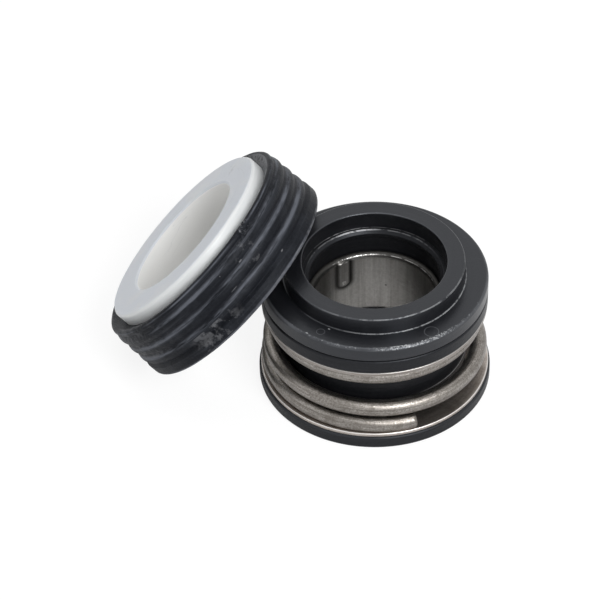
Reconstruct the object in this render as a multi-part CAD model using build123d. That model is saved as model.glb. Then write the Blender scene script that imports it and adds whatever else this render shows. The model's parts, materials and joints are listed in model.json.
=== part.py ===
from build123d import *
import os
from math import cos, radians, sin

# Single-spring shaft seal for a 5/8 inch shaft: a spring-loaded rotating head
# and the ceramic stationary seat in its ribbed rubber cup, leaned on the head.
# Millimetres, +Z up. Origin: centre of the head's underside, on the shaft axis.

# Shaft and the fits on it
shaft_diameter = 15.875
grip_squeeze = 0.0          # the rubber collar is moulded to the shaft size
sleeve_clearance = 0.30     # sleeve bore to shaft, radial
mouth_clearance = 0.16      # neck bore to the sleeve's rolled mouth, radial
slip_fit = 0.05             # sliding pieces of the head, radial
seat_clearance = 1.3125     # ceramic bore to shaft, radial

# Base ring
base_radius = 15.9
base_thickness = 1.85
base_edge_round = 0.35
collar_wall = 1.0           # rubber socket round the sleeve
collar_ledge_height = 3.9   # the drive sleeve stands on this ledge
collar_socket_depth = 1.6   # how far the socket reaches up the sleeve

# Washers under and over the spring
washer_inset = 0.25         # lower washer, in from the base ring's edge
upper_washer_inset = 0.05   # upper washer, in from the bellows band
washer_thickness = 0.55
washer_hole_gap = 0.15      # washer hole to the bellows skirt, radial
washer_edge_round = 0.12

# Compression spring, wound left-hand and slightly conical
wire_diameter = 2.3
coil_inset = 0.05           # outside of the lowest turn, in from the lower washer's edge
coil_taper = 0.8            # the top turn is smaller than the lowest, radial
working_height = 10.15      # between the two washers
closed_turns = 1.3          # turns that lie close to each other at the lower end
closed_gap = 0.4            # between those turns
ground_depth = 0.55         # ground off the lower cut end to let it lie flat
rising_turns = 0.6
level_turns = 0.75          # turns that lie under the upper washer
cut_end_angle = -66.0       # where the lower cut end points, from +X
end_gap = 0.04              # between the spring and each washer

# Bellows
band_inset = 0.55           # head band, in from the base ring's edge
band_height = 2.05
band_edge_round = 0.3
skirt_gap = 0.2             # skirt to the inside of the top turn
skirt_wall = 0.9
skirt_flare = 0.4           # the skirt widens downward with the coil
fold_lift = 2.1             # folded tail above the lower washer
fold_round = 0.3
neck_wall = 1.7             # the neck plugs into the face ring
neck_height = 2.15
lip_reach = 0.35            # lip at the neck's top, in from the neck's bore
lip_thickness = 0.9
lip_bevel = 0.45

# Drive sleeve
sleeve_wall = 0.5
sleeve_length = 9.8
mouth_roll = 0.55           # outward roll at the mouth, to the middle of the sheet
dimple_angle = 121.0        # drive dimple, from +X
dimple_length = 5.4
dimple_width = 2.0
dimple_depth = 0.22

# Face ring
flange_inset = 0.55         # in from the base ring's edge
flange_thickness = 2.25
flange_round = 0.4
nose_foot_round = 0.15
nose_step = 0.55            # nose bore to the neck bore, radial
nose_wall = 2.45
nose_taper = 0.1
nose_height = 2.35
nose_bevel = 0.18
ejector_marks = [(-120.0, 0.55), (-60.0, 1.1)]   # angle from +X, radius
ejector_mark_depth = 0.06

# Stationary seat: ceramic ring
ceramic_wall = 4.75
ceramic_proud = 1.31        # front face above the cup's lip
ceramic_bevel = 0.3

# Stationary seat: rubber cup
cup_floor = 2.0
cup_floor_step = 0.75       # floor hole to the ceramic bore, radial
cup_wall = 2.5              # at the back
cup_taper = 0.25            # back to front, radial
cup_lip_wall = 1.4
cup_dish = 0.7              # how far the front face dips to the ceramic
back_land = 2.2
front_land = 0.9
rib_count = 3
rib_pitch = 1.93
rib_depth = 0.38
cup_back_round = 0.7

# How the seat leans on the head
seat_tilt = 47.4            # seat axis from vertical
seat_heading = 166.4        # which way the seat faces, from +X
lean_gap = 0.05             # seat back to the nose of the face ring
flange_dip = 0.7            # how far the flange's edge may dip into the hole in the seat's back

# Radii, each from its neighbour
shaft_radius = shaft_diameter / 2
wire_radius = wire_diameter / 2
lower_washer_radius = base_radius - washer_inset
coil_radius = lower_washer_radius - coil_inset - wire_radius
top_coil_radius = coil_radius - coil_taper
skirt_radius = top_coil_radius - wire_radius - skirt_gap
washer_bore = skirt_radius + washer_hole_gap
band_radius = base_radius - band_inset
upper_washer_radius = band_radius - upper_washer_inset
flange_radius = base_radius - flange_inset
sleeve_bore = shaft_radius + sleeve_clearance
sleeve_outer = sleeve_bore + sleeve_wall
mouth_radius = sleeve_outer + mouth_roll - sleeve_wall / 2
collar_outer = sleeve_outer + collar_wall
neck_bore_radius = mouth_radius + mouth_clearance
neck_outer_radius = neck_bore_radius + neck_wall
nose_bore_radius = neck_bore_radius + nose_step
nose_tip_radius = nose_bore_radius + nose_wall
nose_foot_radius = nose_tip_radius + nose_taper
ceramic_bore_radius = shaft_radius + seat_clearance
ceramic_radius = ceramic_bore_radius + ceramic_wall
cup_floor_bore_radius = ceramic_bore_radius + cup_floor_step
cup_back_radius = ceramic_radius + cup_wall
cup_front_radius = cup_back_radius - cup_taper
cup_lip_radius = ceramic_radius + cup_lip_wall

# Heights up the head, each from the piece below
lower_washer_top = base_thickness + washer_thickness
fold_height = lower_washer_top + fold_lift
collar_top = collar_ledge_height + collar_socket_depth
sleeve_top = collar_ledge_height + sleeve_length
upper_washer_bottom = lower_washer_top + working_height
band_bottom = upper_washer_bottom + washer_thickness
flange_bottom = band_bottom + band_height
flange_top = flange_bottom + flange_thickness
nose_top = flange_top + nose_height
neck_top = flange_bottom + neck_height

# Heights through the seat, from its back
cup_height = back_land + rib_count * rib_pitch + front_land
ceramic_front = cup_height + ceramic_proud


def turned(outline, rounds=()):
    """Revolve a closed outline of (radius, height) points; rounds lists (point, radius)."""
    section = make_face(Polyline(*outline, close=True))
    for corner, radius in rounds:
        section = fillet(section.vertices().sort_by_distance(corner)[0], radius)
    return revolve(Plane.XZ * section, Axis.Z)


def washer(bottom, radius):
    """A flat steel ring with its outer edge rounded."""
    top = bottom + washer_thickness
    outline = [(washer_bore, bottom), (radius, bottom), (radius, top), (washer_bore, top)]
    rounds = [((radius, bottom), washer_edge_round), ((radius, top), washer_edge_round)]
    return turned(outline, rounds)


def base_ring():
    """Rubber foot: a flat flange and the collar that grips the shaft and holds the sleeve."""
    grip = shaft_radius - grip_squeeze
    outline = [
        (grip, 0),
        (base_radius, 0),
        (base_radius, base_thickness),
        (collar_outer, base_thickness),
        (collar_outer, collar_top),
        (sleeve_outer, collar_top),
        (sleeve_outer, collar_ledge_height),
        (grip, collar_ledge_height),
    ]
    rounds = [
        ((base_radius, 0), base_edge_round),
        ((base_radius, base_thickness), base_edge_round),
        ((collar_outer, collar_top), base_edge_round),
    ]
    return turned(outline, rounds)


def spring():
    """Left-hand cone: its lower end ground flat, then one rising stretch to a level top turn."""
    rest = lower_washer_top + end_gap
    low = rest + wire_radius - ground_depth
    high = upper_washer_bottom - end_gap - wire_radius
    closed_pitch = wire_diameter + closed_gap
    rise = high - low - closed_pitch * closed_turns

    def height(turns):
        """Height of the wire's middle, so many turns from the lower cut end."""
        climb = min(max((turns - closed_turns) / rising_turns, 0), 1)
        eased = climb * climb * (3 - 2 * climb)
        return low + closed_pitch * min(turns, closed_turns) + rise * eased

    total_turns = closed_turns + rising_turns + level_turns
    steps = round(total_turns * 16)
    points = []
    for step in range(steps + 1):
        turns = total_turns * step / steps
        angle = radians(cut_end_angle - 360 * turns)
        radius = coil_radius - coil_taper * (height(turns) - low) / (high - low)
        points.append((radius * cos(angle), radius * sin(angle), height(turns)))
    path = Spline(*points)
    start = Plane(origin=path @ 0, z_dir=path % 0)
    wire = sweep(start * Circle(wire_radius), path=path, is_frenet=False)
    grinder = Cylinder(base_radius, wire_diameter, align=(Align.CENTER, Align.CENTER, Align.MAX))
    return wire - Pos(0, 0, rest) * grinder


def bellows():
    """Rubber head band and neck, with a skirt that folds in to the tail round the collar."""
    skirt_inner = skirt_radius - skirt_wall
    tail_inner = collar_outer + slip_fit
    tip_radius = neck_bore_radius - lip_reach
    outline = [
        (neck_bore_radius, band_bottom),
        (skirt_inner, band_bottom),
        (skirt_inner + skirt_flare, fold_height + skirt_wall),
        (tail_inner, fold_height + skirt_wall),
        (tail_inner, fold_height),
        (skirt_radius + skirt_flare, fold_height),
        (skirt_radius, band_bottom),
        (band_radius, band_bottom),
        (band_radius, flange_bottom),
        (neck_outer_radius, flange_bottom),
        (neck_outer_radius, neck_top),
        (tip_radius + lip_bevel, neck_top),
        (tip_radius, neck_top - lip_bevel),
        (tip_radius, neck_top - lip_thickness),
        (neck_bore_radius, neck_top - lip_thickness),
    ]
    rounds = [
        ((skirt_radius + skirt_flare, fold_height), fold_round),
        ((band_radius, band_bottom), band_edge_round),
        ((band_radius, flange_bottom), band_edge_round),
    ]
    return turned(outline, rounds)


def drive_sleeve():
    """Thin steel tube with an outward roll at its mouth and one drive dimple pressed inward."""
    roll_outer = mouth_roll + sleeve_wall / 2
    roll_height = sleeve_top - roll_outer
    roll_inner = mouth_roll - sleeve_wall / 2
    with BuildLine() as edge:
        Line((sleeve_bore, collar_ledge_height), (sleeve_bore, roll_height))
        RadiusArc((sleeve_bore, roll_height), (mouth_radius, sleeve_top), roll_outer)
        Line((mouth_radius, sleeve_top), (mouth_radius, roll_height + roll_inner))
        RadiusArc((mouth_radius, roll_height + roll_inner), (sleeve_outer, roll_height), -roll_inner)
        Line((sleeve_outer, roll_height), (sleeve_outer, collar_ledge_height))
        Line((sleeve_outer, collar_ledge_height), (sleeve_bore, collar_ledge_height))
    tube = revolve(Plane.XZ * make_face(edge.line), Axis.Z)

    bulge_radius = ((dimple_width / 2) ** 2 + dimple_depth**2) / (2 * dimple_depth)
    bulge_distance = sleeve_bore - dimple_depth + bulge_radius
    dimple_top = roll_height - bulge_radius / 2
    dimple_bottom = dimple_top - dimple_length

    def bulge(radius):
        """A round-ended rod that stands outside the tube and presses the wall in."""
        rod = Pos(0, 0, dimple_bottom) * Cylinder(
            radius, dimple_length, align=(Align.CENTER, Align.CENTER, Align.MIN)
        )
        rod += Pos(0, 0, dimple_bottom) * Sphere(radius)
        rod += Pos(0, 0, dimple_top) * Sphere(radius)
        return Rot(0, 0, dimple_angle) * Pos(bulge_distance, 0, 0) * rod

    wall_middle = Cylinder(sleeve_bore + sleeve_wall / 2, 2 * nose_top)
    tube += bulge(bulge_radius) & wall_middle
    return tube - bulge(bulge_radius - sleeve_wall)


def face_ring():
    """Carbon seal face: a flange on the bellows band and the narrow lapped nose."""
    recess = neck_outer_radius + slip_fit
    outline = [
        (recess, flange_bottom),
        (flange_radius, flange_bottom),
        (flange_radius, flange_top),
        (nose_foot_radius, flange_top),
        (nose_tip_radius, nose_top),
        (nose_bore_radius, nose_top),
        (nose_bore_radius, neck_top + slip_fit),
        (recess, neck_top + slip_fit),
    ]
    rounds = [
        ((flange_radius, flange_bottom), flange_round / 2),
        ((flange_radius, flange_top), flange_round),
        ((nose_foot_radius, flange_top), nose_foot_round),
        ((nose_tip_radius, nose_top), nose_bevel),
        ((nose_bore_radius, nose_top), nose_bevel),
    ]
    ring = turned(outline, rounds)
    land_middle = (nose_foot_radius + flange_radius) / 2
    for angle, radius in ejector_marks:
        spot = Rot(0, 0, angle) * Pos(land_middle, 0, flange_top)
        ring -= spot * Cylinder(radius, 2 * ejector_mark_depth)
    return ring


def seat_ring():
    """Ceramic ring, lapped on its front face; its back rests on the floor of the cup."""
    outline = [
        (ceramic_bore_radius, cup_floor),
        (ceramic_radius, cup_floor),
        (ceramic_radius, ceramic_front),
        (ceramic_bore_radius, ceramic_front),
    ]
    section = make_face(Polyline(*outline, close=True))
    section = chamfer(section.vertices(), ceramic_bevel)
    return revolve(Plane.XZ * section, Axis.Z)


def seat_cup():
    """Rubber cup with rounded ribs round its wall and a dished front lip."""
    notches = []
    for index in range(rib_count + 1):
        height = back_land + index * rib_pitch
        share = height / cup_height
        crest = cup_back_radius + (cup_front_radius - cup_back_radius) * share
        notches.append((crest - rib_depth, height))
    with BuildLine() as edge:
        Line((cup_floor_bore_radius, 0), (cup_back_radius, 0))
        Line((cup_back_radius, 0), (cup_back_radius, back_land - rib_depth))
        Line((cup_back_radius, back_land - rib_depth), notches[0])
        for lower, upper in zip(notches, notches[1:]):
            middle = ((lower[0] + upper[0]) / 2 + rib_depth, (lower[1] + upper[1]) / 2)
            ThreePointArc(lower, middle, upper)
        shoulder = (notches[-1][0] + rib_depth / 2, (notches[-1][1] + cup_height) / 2)
        ThreePointArc(notches[-1], shoulder, (cup_lip_radius, cup_height))
        Line((cup_lip_radius, cup_height), (ceramic_radius, cup_height - cup_dish))
        Line((ceramic_radius, cup_height - cup_dish), (ceramic_radius, cup_floor))
        Line((ceramic_radius, cup_floor), (cup_floor_bore_radius, cup_floor))
        Line((cup_floor_bore_radius, cup_floor), (cup_floor_bore_radius, 0))
    section = make_face(edge.line)
    section = fillet(section.vertices().sort_by_distance((cup_back_radius, 0))[0], cup_back_round)
    return revolve(Plane.XZ * section, Axis.Z)


def seat_location():
    """Place of the leaning seat: its back edge on the ground, its back against the nose's edge."""
    rise = radians(90 - seat_tilt)

    def reach_of(radius, height, rounding):
        """How far a rounded edge of the face ring reaches toward the seat."""
        return (radius - rounding) * cos(rise) + (height - rounding) * sin(rise) + rounding

    nose_reach = reach_of(nose_tip_radius, nose_top, nose_bevel)
    flange_reach = reach_of(flange_radius, flange_top, flange_round)
    reach = max(nose_reach, flange_reach - flange_dip) + lean_gap
    foot_radius = cup_back_radius - cup_back_round
    foot_centre = foot_radius * cos(rise) + cup_back_round
    back_height = foot_centre - cup_back_round * sin(rise)
    out = (reach - back_height * sin(rise)) / cos(rise)
    heading = radians(seat_heading)
    back_centre = Pos(out * cos(heading), out * sin(heading), back_height)
    return back_centre * Rot(0, 0, seat_heading) * Rot(0, seat_tilt, 0)


leaning = seat_location()
nodes = {
    "base_ring": base_ring(),
    "lower_spring_washer": washer(base_thickness, lower_washer_radius),
    "spring": spring(),
    "upper_spring_washer": washer(upper_washer_bottom, upper_washer_radius),
    "bellows": bellows(),
    "drive_sleeve": drive_sleeve(),
    "face_ring": face_ring(),
    "seat_cup": leaning * seat_cup(),
    "seat_ring": leaning * seat_ring(),
}

os.makedirs("parts", exist_ok=True)
for name, shape in nodes.items():
    export_step(shape, f"parts/{name}.step")
    print(name, round(shape.volume, 2))
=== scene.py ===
import bpy
import bmesh
import json
from math import acos, atan2, ceil, cos, degrees, exp, hypot, pi, radians, sin, tan
from mathutils import Matrix, Vector, noise


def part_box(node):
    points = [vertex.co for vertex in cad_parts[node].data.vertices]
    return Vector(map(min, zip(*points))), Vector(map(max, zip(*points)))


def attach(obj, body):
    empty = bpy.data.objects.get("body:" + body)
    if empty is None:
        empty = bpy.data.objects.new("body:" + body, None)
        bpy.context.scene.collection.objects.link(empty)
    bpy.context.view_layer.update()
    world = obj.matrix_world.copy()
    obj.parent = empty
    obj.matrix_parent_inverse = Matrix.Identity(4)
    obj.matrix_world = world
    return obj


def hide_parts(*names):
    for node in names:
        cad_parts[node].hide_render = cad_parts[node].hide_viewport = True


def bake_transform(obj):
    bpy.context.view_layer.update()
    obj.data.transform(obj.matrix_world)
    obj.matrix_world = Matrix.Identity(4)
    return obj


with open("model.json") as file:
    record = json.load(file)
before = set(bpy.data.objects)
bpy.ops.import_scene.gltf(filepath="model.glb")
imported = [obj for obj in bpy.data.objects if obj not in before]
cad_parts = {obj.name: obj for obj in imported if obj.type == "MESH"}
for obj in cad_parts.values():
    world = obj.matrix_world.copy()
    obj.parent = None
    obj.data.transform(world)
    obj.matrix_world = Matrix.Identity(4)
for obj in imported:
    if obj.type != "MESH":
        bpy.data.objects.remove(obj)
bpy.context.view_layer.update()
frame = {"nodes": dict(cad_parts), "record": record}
mm = 0.001
scene = bpy.context.scene
head = "head_base"
face = "seal_face"
print("frame loaded:", sorted(frame["nodes"]))


def low(node):
    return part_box(node)[0] / mm


def high(node):
    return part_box(node)[1] / mm


# levels of the head in millimetres, read from the frame
level = {
    "ground": low("base_ring").z, "collarTop": high("base_ring").z,
    "lowerWasher": low("lower_spring_washer").z, "coilFoot": high("lower_spring_washer").z,
    "coilHead": low("upper_spring_washer").z, "band": high("upper_spring_washer").z,
    "fold": low("bellows").z, "neckTop": high("bellows").z,
    "sleeveFoot": low("drive_sleeve").z, "sleeveTop": high("drive_sleeve").z,
    "flange": low("face_ring").z, "noseTop": high("face_ring").z,
}
mount = {m["name"]: m for m in frame["record"]["mounts"]}
shaftRadius = mount["shaft_bore"]["dims"]["r_mm"]

# the leaning seat: sizes that its two pieces share, and the place of its back
seat = {
    "ceramicBore": mount["seat_bore"]["dims"]["r_mm"],
    "ceramicWall": 4.75,
    "ceramicThickness": 8.2,
    "cupFloor": 2.0,
    "backRadius": mount["seat_outside"]["dims"]["r_mm"],
}
seatAxis = Vector(mount["seat_bore"]["axis"]).normalized()
seatMiddle = Vector(mount["seat_bore"]["pos_m"]) / mm
seatBack = seatMiddle - seatAxis * (seat["cupFloor"] + seat["ceramicThickness"] / 2)
seatPlace = (
    Matrix.Translation(seatBack * mm)
    @ Matrix.Rotation(atan2(seatAxis.y, seatAxis.x), 4, "Z")
    @ Matrix.Rotation(acos(seatAxis.z), 4, "Y")
)


# outlines and turned pieces

def roundedOutline(corners, arcSteps=6, run=0.5, support=0.05):
    # corners are (radius, height, rounding), and a sharp one may carry its edge value as a fourth item;
    # gives the closed outline's (radius, height, edge) points, where edge says how rubbed one is; on the
    # cup's ribs and the steel rims it also sets painted highlights
    points = []
    count = len(corners)
    for i, (x, y, rounding, *mark) in enumerate(corners):
        here = Vector((x, y))
        before = Vector(corners[i - 1][:2])
        after = Vector(corners[(i + 1) % count][:2])
        arm = (before - here).normalized()
        leg = (after - here).normalized()
        if rounding <= 0:
            points.append((x, y, mark[0] if mark else 1.0))
            continue
        half = arm.angle(leg) / 2
        reach = rounding / tan(half)
        start, end = here + arm * reach, here + leg * reach
        centre = here + (arm + leg).normalized() * (rounding / sin(half))
        first = (start - centre).normalized()
        last = (end - centre).normalized()
        sweepAngle = first.angle(last)
        for step in range(arcSteps + 1):
            share = step / arcSteps
            ray = (
                first * sin((1 - share) * sweepAngle) + last * sin(share * sweepAngle)
            ) / sin(sweepAngle)
            spot = centre + ray * rounding
            points.append((spot.x, spot.y, sin(pi * share) ** 0.5))
    filled = []
    for i, (x, y, edge) in enumerate(points):
        nx, ny, nextEdge = points[(i + 1) % len(points)]
        filled.append((x, y, edge))
        length = hypot(nx - x, ny - y)
        if length > 4 * support:
            pieces = max(1, ceil((length - 2 * support) / run))
            for step in range(pieces + 1):
                along = (support + (length - 2 * support) * step / pieces) / length
                filled.append((x + (nx - x) * along, y + (ny - y) * along, 0.0))
    return filled


def turnedPiece(name, outline, segments=320, place=Matrix.Identity(4)):
    verts, faces, edges = [], [], []
    count = len(outline)
    for i in range(segments):
        angle = 2 * pi * i / segments
        c, s = cos(angle), sin(angle)
        j = (i + 1) % segments
        for k, (radius, height, edge) in enumerate(outline):
            n = (k + 1) % count
            verts.append((radius * c * mm, radius * s * mm, height * mm))
            edges.append(edge)
            faces.append((i * count + k, j * count + k, j * count + n, i * count + n))
    mesh = bpy.data.meshes.new(name)
    mesh.from_pydata(verts, [], faces)
    mesh.attributes.new("edge", "FLOAT", "POINT").data.foreach_set("value", edges)
    piece = bpy.data.objects.new(name, mesh)
    scene.collection.objects.link(piece)
    faceOutward(mesh)
    mesh.transform(place)
    return piece


def faceOutward(mesh):
    shape = bmesh.new()
    shape.from_mesh(mesh)
    bmesh.ops.recalc_face_normals(shape, faces=shape.faces)
    shape.to_mesh(mesh)
    shape.free()
    mesh.polygons.foreach_set("use_smooth", [True] * len(mesh.polygons))


def unevenSurface(mesh, depth, size, seed, octaves=3):
    # sinks the surface by a smooth noise, so nothing stands outside the solid
    offset = Vector((seed * 17.3, seed * 5.1, seed * 9.7))
    normals = [v.normal.copy() for v in mesh.vertices]
    for v, normal in zip(mesh.vertices, normals):
        bump = noise.fractal(v.co / (size * mm) + offset, 1.0, 2.0, octaves) * 0.5 + 0.5
        v.co -= normal * (max(0.0, min(1.0, bump)) * depth * mm)
    mesh.update()


# node helpers

def setInputs(tree, node, values):
    # a value is a plain one, the output that feeds the socket, or a node whose first output does
    for key, value in values.items():
        if isinstance(value, bpy.types.Node):
            value = value.outputs[0]
        if isinstance(value, bpy.types.NodeSocket):
            tree.links.new(value, node.inputs[key])
        else:
            node.inputs[key].default_value = value


def addNode(tree, kind, values=None, **settings):
    node = tree.nodes.new(kind)
    for key, value in settings.items():
        setattr(node, key, value)
    setInputs(tree, node, values or {})
    return node


def maths(tree, operation, *operands, clamp=False):
    values = dict(enumerate(operands))
    return addNode(tree, "ShaderNodeMath", values, operation=operation, use_clamp=clamp).outputs[0]


def vectorMaths(tree, operation, *operands):
    return addNode(tree, "ShaderNodeVectorMath", dict(enumerate(operands)), operation=operation).outputs


def combine(tree, x=0.0, y=0.0, z=0.0):
    return addNode(tree, "ShaderNodeCombineXYZ", {"X": x, "Y": y, "Z": z}).outputs[0]


def separate(tree, vector):
    return addNode(tree, "ShaderNodeSeparateXYZ", {"Vector": vector}).outputs


def noiseOf(tree, vector, scale, detail, roughness=0.5, distortion=0.0):
    return addNode(tree, "ShaderNodeTexNoise", {
        "Vector": vector, "Scale": scale, "Detail": detail, "Roughness": roughness,
        "Distortion": distortion,
    }).outputs["Fac"]


def remap(tree, value, fromMin=0.0, fromMax=1.0, toMin=0.0, toMax=1.0, interpolation="LINEAR"):
    return addNode(tree, "ShaderNodeMapRange", {
        "Value": value, "From Min": fromMin, "From Max": fromMax, "To Min": toMin, "To Max": toMax,
    }, interpolation_type=interpolation).outputs["Result"]


def mixColour(tree, mask, first, second):
    # 6, 7 and 2 are the colour sockets of the node
    first, second = [(*c, 1.0) if isinstance(c, tuple) else c for c in (first, second)]
    return addNode(tree, "ShaderNodeMix", {0: mask, 6: first, 7: second}, data_type="RGBA").outputs[2]


# shader groups shared by several finishes

def newGroup(name, inputs, vectors=(), numbers=("Mask",)):
    # inputs are {label: value}, None for a vector; the rest are the outputs' labels
    tree = bpy.data.node_groups.new(name, "ShaderNodeTree")
    for label, value in inputs.items():
        kind = "NodeSocketVector" if value is None else "NodeSocketFloat"
        socket = tree.interface.new_socket(label, in_out="INPUT", socket_type=kind)
        if value is not None:
            socket.default_value = value
    for kind, labels in (("NodeSocketVector", vectors), ("NodeSocketFloat", numbers)):
        for label in labels:
            tree.interface.new_socket(label, in_out="OUTPUT", socket_type=kind)
    return tree, addNode(tree, "NodeGroupInput").outputs


def endGroup(tree, results):
    addNode(tree, "NodeGroupOutput", results)
    return tree


def buildGrainGroup():
    # fine speckle
    tree, given = newGroup("fineGrain", {"Vector": None, "Scale": 2000.0})
    fine = noiseOf(tree, given["Vector"], given["Scale"], detail=3.0, roughness=0.65)
    return endGroup(tree, {"Mask": remap(tree, fine, 0.3, 0.7)})


def buildPolarGroup():
    # about the piece's own axis: drawn lines follow Lengthwise, turned lines and streaks Around
    tree, given = newGroup(
        "aboutTheAxis", {"Vector": None},
        vectors=("Lengthwise", "Around"), numbers=("Radius", "Height", "Heading"),
    )
    x, y, z = separate(tree, given["Vector"])
    reach = vectorMaths(tree, "LENGTH", combine(tree, x, y))["Value"]
    shrunk = vectorMaths(tree, "MULTIPLY", given["Vector"], (0.06, 0.06, 0.0))["Vector"]
    outward = combine(tree, z=maths(tree, "ADD", reach, z))
    return endGroup(tree, {
        "Lengthwise": combine(tree, x, y, maths(tree, "MULTIPLY", z, 0.04)),
        "Around": vectorMaths(tree, "ADD", shrunk, outward)["Vector"],
        "Radius": reach,
        "Height": z,
        "Heading": maths(tree, "ARCTAN2", y, x),
    })


def buildWearAndHighlightGroup():
    # rubbed edges, broken up by noise; on the cup's ribs the same mask paints highlights
    tree, given = newGroup("rubbedEdge", {"Edge": 0.0, "Vector": None, "Scale": 900.0, "Amount": 0.5})
    patches = remap(tree, noiseOf(tree, given["Vector"], given["Scale"], 4.0, 0.7), 0.42, 0.62)
    onEdge = maths(tree, "MULTIPLY", patches, given["Edge"])
    return endGroup(tree, {"Mask": maths(tree, "MULTIPLY", onEdge, given["Amount"], clamp=True)})


def buildSmearGroup():
    # soft dusty smears, drawn out along the given coordinates
    tree, given = newGroup("dustSmears", {"Vector": None, "Scale": 150.0, "Cover": 0.55, "Amount": 0.5})
    broad = noiseOf(tree, given["Vector"], given["Scale"], 5.0, 0.6, 0.4)
    patches = remap(tree, broad, given["Cover"], maths(tree, "ADD", given["Cover"], 0.16))
    return endGroup(tree, {"Mask": maths(tree, "MULTIPLY", patches, given["Amount"], clamp=True)})


def buildArcGroup():
    # a line on part of a ring: windows in heading, radius and height, broken up by noise
    tree, given = newGroup("brokenArc", {
        "Heading": 0.0, "Radius": 0.0, "Height": 0.0, "Vector": None, "Middle": 0.0, "Fade": 0.9,
        "Ring Radius": 0.01, "Ring Width": 0.001, "Ring Height": 0.01, "Ring Depth": 0.001,
        "Scale": 2500.0, "Gaps": 0.5, "Amount": 1.0,
    })
    facing = maths(tree, "COSINE", maths(tree, "SUBTRACT", given["Heading"], given["Middle"]))
    mask = remap(tree, facing, given["Fade"], interpolation="SMOOTHSTEP")
    for labels in (("Radius", "Ring Radius", "Ring Width"), ("Height", "Ring Height", "Ring Depth")):
        inside = maths(tree, "COMPARE", *(given[label] for label in labels))
        mask = maths(tree, "MULTIPLY", mask, inside)
    chips = noiseOf(tree, given["Vector"], given["Scale"], 3.0, 0.7)
    broken = remap(tree, chips, given["Gaps"], maths(tree, "ADD", given["Gaps"], 0.12))
    for share in (broken, given["Amount"]):
        mask = maths(tree, "MULTIPLY", mask, share, clamp=True)
    return endGroup(tree, {"Mask": mask})


def buildHairlineGroup():
    # sparse fine scratches: thin contour lines of a smooth noise, kept in patches
    tree, given = newGroup("hairlines", {"Vector": None, "Scale": 180.0, "Width": 0.006, "Amount": 0.5})
    lines = noiseOf(tree, given["Vector"], given["Scale"], 1.0, 0.4, 0.6)
    contour = maths(tree, "COMPARE", lines, 0.5, given["Width"])
    patches = remap(tree, noiseOf(tree, given["Vector"], 260.0, 2.0), 0.54, 0.62)
    drawn = maths(tree, "MULTIPLY", contour, patches)
    return endGroup(tree, {"Mask": maths(tree, "MULTIPLY", drawn, given["Amount"], clamp=True)})


grainGroup = buildGrainGroup()
polarGroup = buildPolarGroup()
wearAndHighlightGroup = buildWearAndHighlightGroup()
smearGroup = buildSmearGroup()
arcGroup = buildArcGroup()
hairlineGroup = buildHairlineGroup()
print("shader groups built")


def newMaterial(name):
    material = bpy.data.materials.new(name)
    material.use_nodes = True
    tree = material.node_tree
    return material, tree, tree.nodes["Principled BSDF"]


def useGroup(tree, group, values):
    return addNode(tree, "ShaderNodeGroup", values, node_tree=group).outputs


def grainAt(tree, where, scale):
    return useGroup(tree, grainGroup, {"Vector": where, "Scale": scale})["Mask"]


def smearsAt(tree, where, scale, cover, amount):
    values = {"Vector": where, "Scale": scale, "Cover": cover, "Amount": amount}
    return useGroup(tree, smearGroup, values)["Mask"]


def attribute(tree, name, output="Fac"):
    return addNode(tree, "ShaderNodeAttribute", attribute_name=name).outputs[output]


def centredCoordinates(tree, onSeat=False):
    # object coordinates about the piece's own axis, plain and polar
    values = {"Vector": addNode(tree, "ShaderNodeTexCoord").outputs["Object"]}
    if onSeat:
        values.update({"Location": seatPlace.to_translation(), "Rotation": seatPlace.to_euler()})
    where = addNode(tree, "ShaderNodeMapping", values, vector_type="TEXTURE")
    return where, useGroup(tree, polarGroup, {"Vector": where})


def addBump(tree, shader, layers):
    # layers are (height, depth in metres), from coarse to fine
    previous = {}
    for height, depth in layers:
        values = {"Strength": 1.0, "Distance": depth, "Height": height, **previous}
        previous = {"Normal": addNode(tree, "ShaderNodeBump", values)}
    setInputs(tree, shader, previous)


def addArcs(tree, where, polar, base, arcs, colour):
    # each row: middle and half spread in degrees; radius, width, height and depth in millimetres; the
    # noise's scale and gaps (below 0 for an unbroken line); amount
    for middle, half, radius, width, height, depth, scale, gaps, amount in arcs:
        arc = useGroup(tree, arcGroup, {
            "Heading": polar["Heading"], "Radius": polar["Radius"], "Height": polar["Height"],
            "Vector": where, "Middle": radians(middle), "Fade": cos(radians(half)),
            "Ring Radius": radius * mm, "Ring Width": width * mm,
            "Ring Height": height * mm, "Ring Depth": depth * mm,
            "Scale": scale, "Gaps": gaps, "Amount": amount,
        })
        base = mixColour(tree, arc["Mask"], base, colour)
    return base


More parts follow.
